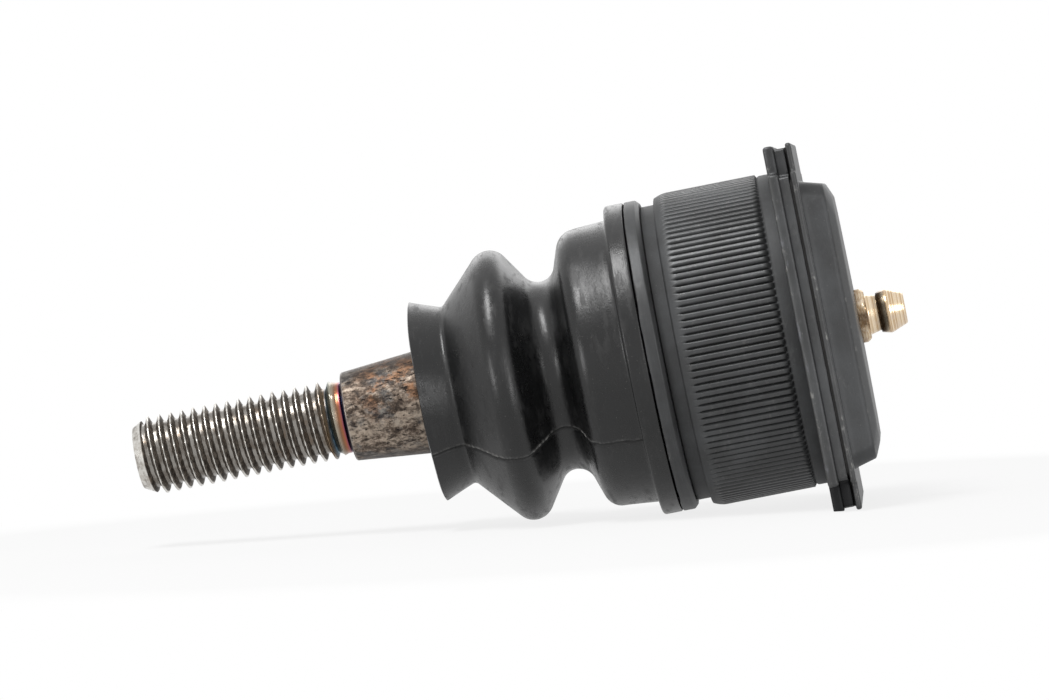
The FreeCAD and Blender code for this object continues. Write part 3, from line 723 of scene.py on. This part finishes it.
# One quarter of the flange's outline is a tab's edge, a rounded outer corner, a side of the
# notch, its rounded inner corner, the notch's other side, and the next tab's outer corner.
def notchedOutline(inset):
    f, n = flange, flange["samples"]
    half, r = f["half"] - inset, f["corner"]
    low = half - f["notch"]
    turn = np.linspace(0, math.pi / 2, n["corner"], endpoint=False)

    def run(start, end, count):
        return np.linspace(start, end, count, endpoint=False)

    def outward(y, z):
        return np.stack([y + r * np.cos(turn), z + r * np.sin(turn)], 1)

    inward = low + r - r * np.stack([np.sin(turn), np.cos(turn)], 1)
    quarter = np.concatenate([
        run((half, -low + r), (half, low - r), n["tab"]), outward(half - r, low - r),
        run((half - r, low), (low + r, low), n["notch"]), inward,
        run((low, low + r), (low, half - r), n["notch"]), outward(low - r, half - r)])
    turns = [np.array(((c, -s), (s, c))) for c, s in ((1, 0), (0, 1), (-1, 0), (0, -1))]
    return np.concatenate([quarter @ each.T for each in turns])


# Directions of the outline's points from the axis, which the flange's and the cover's rings share.
outline = notchedOutline(0.0)
bearing = np.arctan2(outline[:, 1], outline[:, 0])
direction = np.stack([np.cos(bearing), np.sin(bearing)], 1)


# Distance of a square with rounded corners from the axis, in the directions of "bearing": half /
# cos(angle) on its sides, and the rounding's circle at its corners.
def squareReach(half, rounding):
    fold = np.abs((bearing + math.pi / 4) % (math.pi / 2) - math.pi / 4)
    side = half / np.cos(fold)
    centre = half - rounding
    along = centre * (np.cos(fold) + np.sin(fold))
    corner = along + np.sqrt(np.maximum(along ** 2 - 2 * centre ** 2 + rounding ** 2, 0))
    return np.where(np.tan(fold) * half > centre, corner, side)


# A ring of the flange or the cover at x: an outline of (y, z) points.
def plateRing(x, places):
    return np.concatenate([np.full((len(places), 1), x), places], 1)


# A round ring at x: direction * radius.
def circleRing(x, radius):
    return plateRing(x, direction * radius)


# The ragged edge that pressing leaves: place * (reach - ragged) / reach, ragged up to "most".
def raggedOutline(inset, seed, most):
    places = notchedOutline(inset)
    reach = np.linalg.norm(places, axis=1)
    ragged = most * np.clip(0.5 + 0.5 * wander(bearing, 0.0, seed, 60), 0, 1)
    return places * ((reach - ragged) / reach)[:, None]


# The flange: the notched outline at a row of distances, closed by the bore's circles. Its front
# layer ends in a worn rim, and the layer behind it stands back a little.
def makeFlange():
    f = flange
    front, back = f["front"], f["rimBack"]
    rimRows = [(front + x, inset) for x, inset in f["frontRows"]] \
        + [(back + x, inset) for x, inset in f["backRows"]]
    rings = [circleRing(front, seat["bore"]), circleRing(front, f["faceRadius"])]
    wear = [0, 0]
    for x, inset in rimRows:
        rings.append(plateRing(x, raggedOutline(inset, 17, f["roughness"])))
        wear.append(math.exp(-((x - front - 0.2) / 0.45) ** 2)
                    + 0.35 * math.exp(-((x - back) / 0.25) ** 2))
    for x, inset in f["layerRows"]:
        rings.append(plateRing(x, raggedOutline(inset, 29, f["layerRoughness"])))
        wear.append(f["layerWear"])
    rings += [circleRing(f["back"], f["faceRadius"]), circleRing(f["back"], seat["bore"])]
    wear += [0, 0]
    # painted shade in the corners' notches, most of it in the two lower ones
    sides = np.sort(np.abs(outline), axis=1)
    inNotch = (sides[:, 0] > f["half"] - f["notch"] - 0.6) & (sides[:, 1] < f["half"] - 0.25)
    notchShade = np.where(outline[:, 1] < 0, 1.0, f["notchShadeAbove"]) * inNotch
    onRim = np.array([0, 0] + [1] * (len(rings) - 4) + [0, 0])
    layers = {"wear": np.array(wear)[:, None], "stain": onRim[:, None] * notchShade}
    return skin("notched_flange", np.array(rings), layers, sharpAt=50)


fit(makeFlange(), "body", finishes["flange"], "housing")
print("housing made")


cover = {
    "seat": 14.15, "rimBack": 15.0, "capHalf": 21.5, "draft": 15.0, "wallEnd": 18.45,
    "bevelReach": 2.3, "face": 19.7, "crown": 0.25, "cornerRadius": 2.4, "wall": 1.6,
    "inside": 18.1, "insideCorner": 1.5, "dish": 4.39, "dishFloor": 19.2, "hole": 2.97,
    "collar": 4.65, "collarEnd": 16.6, "roughness": 0.12,
    # the thin rim's rows (distance from the seat or the rim's back, drawn in, wear and painted edge
    # highlight)
    "seatRows": [(0.0, 0.32, 0), (0.06, 0.12, 0.3), (0.2, 0.02, 0.8), (0.42, 0.0, 1.0)],
    "rimRows": [(-0.2, 0.03, 0.9), (-0.06, 0.14, 0.5), (0.0, 0.34, 0.1)],
    # the bevel's rows (share of the way along it, sunk, wear and painted edge highlight)
    "bevelRows": [(0.04, 0.06, 0.8), (0.10, 0.03, 0.5), (0.3, 0.0, 0.12), (0.6, 0.0, 0.1),
                  (0.86, 0.0, 0.2), (0.96, 0.04, 0.4)],
}


# The cover's cap: its half width falls with the draft, then along the bevel to the face, and the
# square's corners open out until the face ends in the nipple's round dish.
def makeCover():
    c = cover
    seatAt, rimBack, wallEnd, face = c["seat"], c["rimBack"], c["wallEnd"], c["face"]
    cornerRadius, capHalf = c["cornerRadius"], c["capHalf"]
    slope = math.tan(math.radians(c["draft"]))
    rings, wear = [], []

    def add(ringOfPoints, share=0.0):
        rings.append(ringOfPoints)
        wear.append(share)

    def square(x, half, rounding, share=0.0):
        add(plateRing(x, direction * squareReach(half, rounding)[:, None]), share)

    for start, rows in ((seatAt, c["seatRows"]), (rimBack, c["rimRows"])):
        for x, inset, share in rows:
            add(plateRing(start + x, raggedOutline(inset, 53, c["roughness"])), share)
    square(rimBack + 0.02, capHalf + 0.12, cornerRadius)
    square(rimBack + 0.3, capHalf - 0.05, cornerRadius)
    for x in np.linspace(rimBack + 0.7, wallEnd - 0.12, 6):
        square(x, capHalf - (x - rimBack) * slope, cornerRadius)
    edge = capHalf - (wallEnd - rimBack) * slope
    rise, reach = face - c["crown"] - wallEnd, c["bevelReach"]
    for share, sunk, wornHere in c["bevelRows"]:
        square(wallEnd + rise * share, edge - reach * share - sunk, cornerRadius + 1.2 * share,
               wornHere)
    shoulder = edge - reach - 0.1
    for share in np.linspace(0.12, 1, 8):
        half = shoulder + (c["dish"] + 0.15 - shoulder) * share
        opened = cornerRadius + 1.9 + (half - 4) * share
        square(face - c["crown"] * (half / shoulder) ** 2, half, min(half * 0.999, opened))
    for x, radius in ((face - 0.05, c["dish"]), (c["dishFloor"], c["dish"] - 0.05),
                      (c["dishFloor"], c["hole"]), (c["collarEnd"], c["hole"]),
                      (c["collarEnd"], c["collar"]), (c["inside"], c["collar"])):
        add(circleRing(x, radius))
    inner = capHalf - c["wall"]
    square(c["inside"], inner - (c["inside"] - seatAt) * slope, c["insideCorner"])
    square(seatAt, inner, c["insideCorner"])
    return skin("pressed_cover", np.array(rings), {"wear": np.array(wear)[:, None]}, sharpAt=42)


fit(makeCover(), "body", finishes["cover"], "cover_plate")
print("cover made")


nipple = {
    "shank": 2.95, "shankEnd": 16.0, "hexSeat": 19.2, "hexCrown": 20.35, "hexEnd": 21.05,
    "flat": 3.5, "neck": 2.9, "neckEnd": 22.7, "headBack": 3.0, "widest": 24.2, "head": 3.375,
    "end": 26.8, "face": 2.3, "mouth": 0.8, "chamber": 1.45, "columns": 144, "step": 0.16,
    # darker brown on the shank and the hexagon's rows, and painted shade behind the head and on one
    # of the hexagon's flats
    "hexDarkening": [1, 0.6, 0.15, 0, 0, 0.1, 0.6], "headShadeAt": 23.0, "headShadeWidth": 0.6,
    "shadedFlat": -0.15, "flatShade": 0.9,
}


# Turned nipple: everywhere round but on the hexagon, where the radius is the smaller of
# flat / cos(angle from the nearest flat's middle) and the crown's cone.
def makeNipple():
    n = nipple
    flat, neck, chamber, end = n["flat"], n["neck"], n["chamber"], n["end"]
    sixth = math.pi / 3
    corner = flat / math.cos(sixth / 2)
    angles = evenAngles(n["columns"])
    hexReach = flat / np.cos((angles + sixth / 2) % sixth - sixth / 2)
    shank = np.array([(n["shankEnd"], chamber), (n["shankEnd"], n["shank"] - 0.1),
                      (n["shankEnd"] + 0.1, n["shank"]), (n["hexSeat"], n["shank"])])
    hexRows = np.array([
        (n["hexSeat"], corner), (n["hexSeat"] + 0.5, corner), (n["hexCrown"], corner),
        (n["hexCrown"] + 0.2, corner - 0.08), (n["hexCrown"] + 0.45, corner - 0.25),
        (n["hexEnd"] - 0.04, flat + 0.06), (n["hexEnd"], flat - 0.08)])
    front = roundedLine([
        (n["hexEnd"], flat - 0.1, 0), (n["hexEnd"] + 0.05, neck + 0.15, 0.15),
        (n["neckEnd"], neck - 0.25, 0.12), (n["neckEnd"] + 0.05, n["headBack"], 0.12),
        (n["widest"], n["head"], 0.9), (end, n["face"], 0.35), (end - 0.02, n["mouth"], 0.12),
        (end - 0.75, n["mouth"], 0.1), (end - 1.4, chamber, 0), (n["shankEnd"], chamber, 0)],
        n["step"])[1:-1]
    rings = [turnedRings(-shank[:, 0], shank[:, 1], angles),
             turnedRings(-hexRows[:, 0], np.minimum(hexRows[:, 1:], hexReach), angles),
             turnedRings(-front[:, 0], front[:, 1], angles)]
    # painted shade: a dark brown band on the back of the head, and on one hexagon flat further down
    headShade = np.exp(-((front[:, 0] - n["headShadeAt"]) / n["headShadeWidth"]) ** 2)
    dirtAndShade = np.concatenate([np.full(len(shank), 1.0), n["hexDarkening"], headShade])[:, None]
    fromFlat = np.abs((angles - n["shadedFlat"] + math.pi) % fullTurn - math.pi)
    onHexagon = np.zeros(len(dirtAndShade))
    onHexagon[len(shank):len(shank) + len(hexRows)] = n["flatShade"]
    stain = np.maximum(dirtAndShade, onHexagon[:, None] * np.clip(1.5 - fromFlat * 2.4, 0, 1))
    return skin("turned_grease_nipple", np.concatenate(rings), {"wear": stain}, sharpAt=28)


fit(makeNipple(), "body", finishes["nipple"], "grease_nipple")
print("nipple made")


keptNodes = {
    "upper_bearing": "bearing", "pressure_seat": "seat", "preload_spring": "spring",
    "cover_gasket": "gasket", "nipple_check_ball": "spring", "nipple_check_spring": "spring",
    "nipple_spring_stop": "nipple", "boot_neck_ring": "ring",
}
for name, finishName in keptNodes.items():
    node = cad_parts[name]
    node.data.materials.clear()
    node.data.materials.append(finishes[finishName])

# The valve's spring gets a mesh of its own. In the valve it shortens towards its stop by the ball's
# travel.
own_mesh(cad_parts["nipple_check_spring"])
print("CAD nodes finished:", len(keptNodes))


view = {
    "target": (-30.6, 0.0, 4.75), "distance": 890.0, "towardsCover": 3.8, "above": 0.8,
    "roll": 11.15, "lens": 202.8, "filmWidth": 36.0, "clipEnd": 20.0,
}


# A camera at target + back * distance that looks at the joint's side, with its level and upright
# directions turned by the roll, so that the joint's axis rises to the right.
def placeCamera():
    v = view
    a, e = math.radians(v["towardsCover"]), math.radians(v["above"])
    back = Vector((math.sin(a), -math.cos(a) * math.cos(e), math.cos(a) * math.sin(e)))
    level = Vector((1, 0, 0))
    level = (level - back * level.dot(back)).normalized()
    upright = back.cross(level)
    roll = math.radians(v["roll"])
    right = level * math.cos(roll) - upright * math.sin(roll)
    up = level * math.sin(roll) + upright * math.cos(roll)
    place = (Vector(v["target"]) + back * v["distance"]) * millimetre
    camera = bpy.data.cameras.new("camera")
    camera.lens, camera.sensor_width, camera.clip_end = v["lens"], v["filmWidth"], v["clipEnd"]
    turned = Matrix((right, up, back)).transposed().to_4x4()
    bpy.context.scene.camera = addObject("camera", camera, Matrix.Translation(place) @ turned)


studioFloor = {
    "flangeEdge": (15.0, -27.4), "touching": [(-14.7, -23.6), (-33.0, -20.6)], "gap": 0.03,
    "size": 4000.0, "grey": 0.86, "lift": 0.82, "mirroredLift": 0.65, "middle": -20.0,
    "whiteFrom": 48.0, "whiteTo": 150.0,
}


# The floor touches the flange's lowest edge and the boot: it rises towards the stud by the
# smallest slope that keeps every touching point above it. The camera sees it lifted towards
# white, more so further away, and it keeps the joint's shadow.
def layFloor():
    f = studioFloor
    x0, z0 = f["flangeEdge"]
    tilt = math.atan(min((z - z0) / (x0 - x) for x, z in f["touching"]))
    t = np.linspace(-1, 1, 3) * f["size"]
    grid = np.array([(x, y) for x in t for y in t])
    along, across = np.array((math.cos(tilt), 0, -math.sin(tilt))), np.array((0, 1, 0))
    spots = grid[:, :1] * along + grid[:, 1:] * across + np.array((x0, 0, z0 - f["gap"]))
    mesh = bpy.data.meshes.new("floor")
    mesh.from_pydata((spots * millimetre).tolist(), [],
                     [(i, i + 3, i + 4, i + 1) for i in (0, 1, 3, 4)])
    m = finishMaker("white_floor")
    matt = m.node("ShaderNodeBsdfDiffuse", {}, {"Color": (*[f["grey"]] * 3, 1)})
    glow = m.node("ShaderNodeEmission", {}, {"Color": (1, 1, 1, 1), "Strength": 1.0})
    seen, mirrored = m.rays("Camera"), m.rays("Glossy")
    middle = m.node("ShaderNodeCombineXYZ", inputs={"X": m.x - f["middle"], "Y": m.y})
    away = m.node("ShaderNodeVectorMath", {"operation": "LENGTH"}, {0: middle}, output="Value")
    far = away.rising(f["whiteFrom"], f["whiteTo"]) * seen.most(mirrored)
    lift = (seen * f["lift"]).most(far).most(mirrored * f["mirroredLift"])
    mesh.materials.append(m.shown(m.node("ShaderNodeMixShader", {}, {0: lift, 1: matt, 2: glow})))
    addObject("floor", mesh)
    print("floor laid, rising", round(math.degrees(tilt), 2), "degrees towards the stud")


light = {
    "world": 0.30, "aim": (-20, 0, 0),
    # each lamp's place, its two sides and its power
    "lamps": {
        "overhead": ((-90, -210, 600), (150, 330), 2.4),
        "frontLeft": ((-620, -560, 60), (160, 420), 1.5),
        "frontRight": ((520, -560, 80), (120, 420), 0.95),
        "behind": ((60, 620, 300), (700, 300), 0.85),
    },
}


# White surroundings: the camera and mirrors see plain white, and the soft light is weaker.
def lightWorld():
    world = bpy.data.worlds.new("studio")
    bpy.context.scene.world = world
    world.use_nodes = True
    m = nodeMaker(world.node_tree)
    white = m.rays("Camera").most(m.rays("Transmission")).most(m.rays("Glossy"))
    strength = m.node("ShaderNodeMapRange", {}, {
        "Value": white, "To Min": light["world"], "To Max": 1.0})
    background = m.node("ShaderNodeBackground", {}, {
        "Color": (1, 1, 1, 1), "Strength": strength})
    m.node("ShaderNodeOutputWorld", {}, {"Surface": background})


# Four soft rectangles of light, each at its place and turned so that its -Z meets the aim.
def hangLamps():
    for name, (place, sides, power) in light["lamps"].items():
        lamp = bpy.data.lights.new(name, "AREA")
        lamp.shape, lamp.energy = "RECTANGLE", power
        lamp.size, lamp.size_y = [side * millimetre for side in sides]
        place = Vector(place) * millimetre
        turned = (Vector(light["aim"]) * millimetre - place).to_track_quat("-Z", "Y")
        addObject(name, lamp, Matrix.Translation(place) @ turned.to_matrix().to_4x4())


placeCamera()
layFloor()
lightWorld()
hangLamps()
bpy.context.scene.view_settings.view_transform = "Standard"
print("camera, floor and light set")
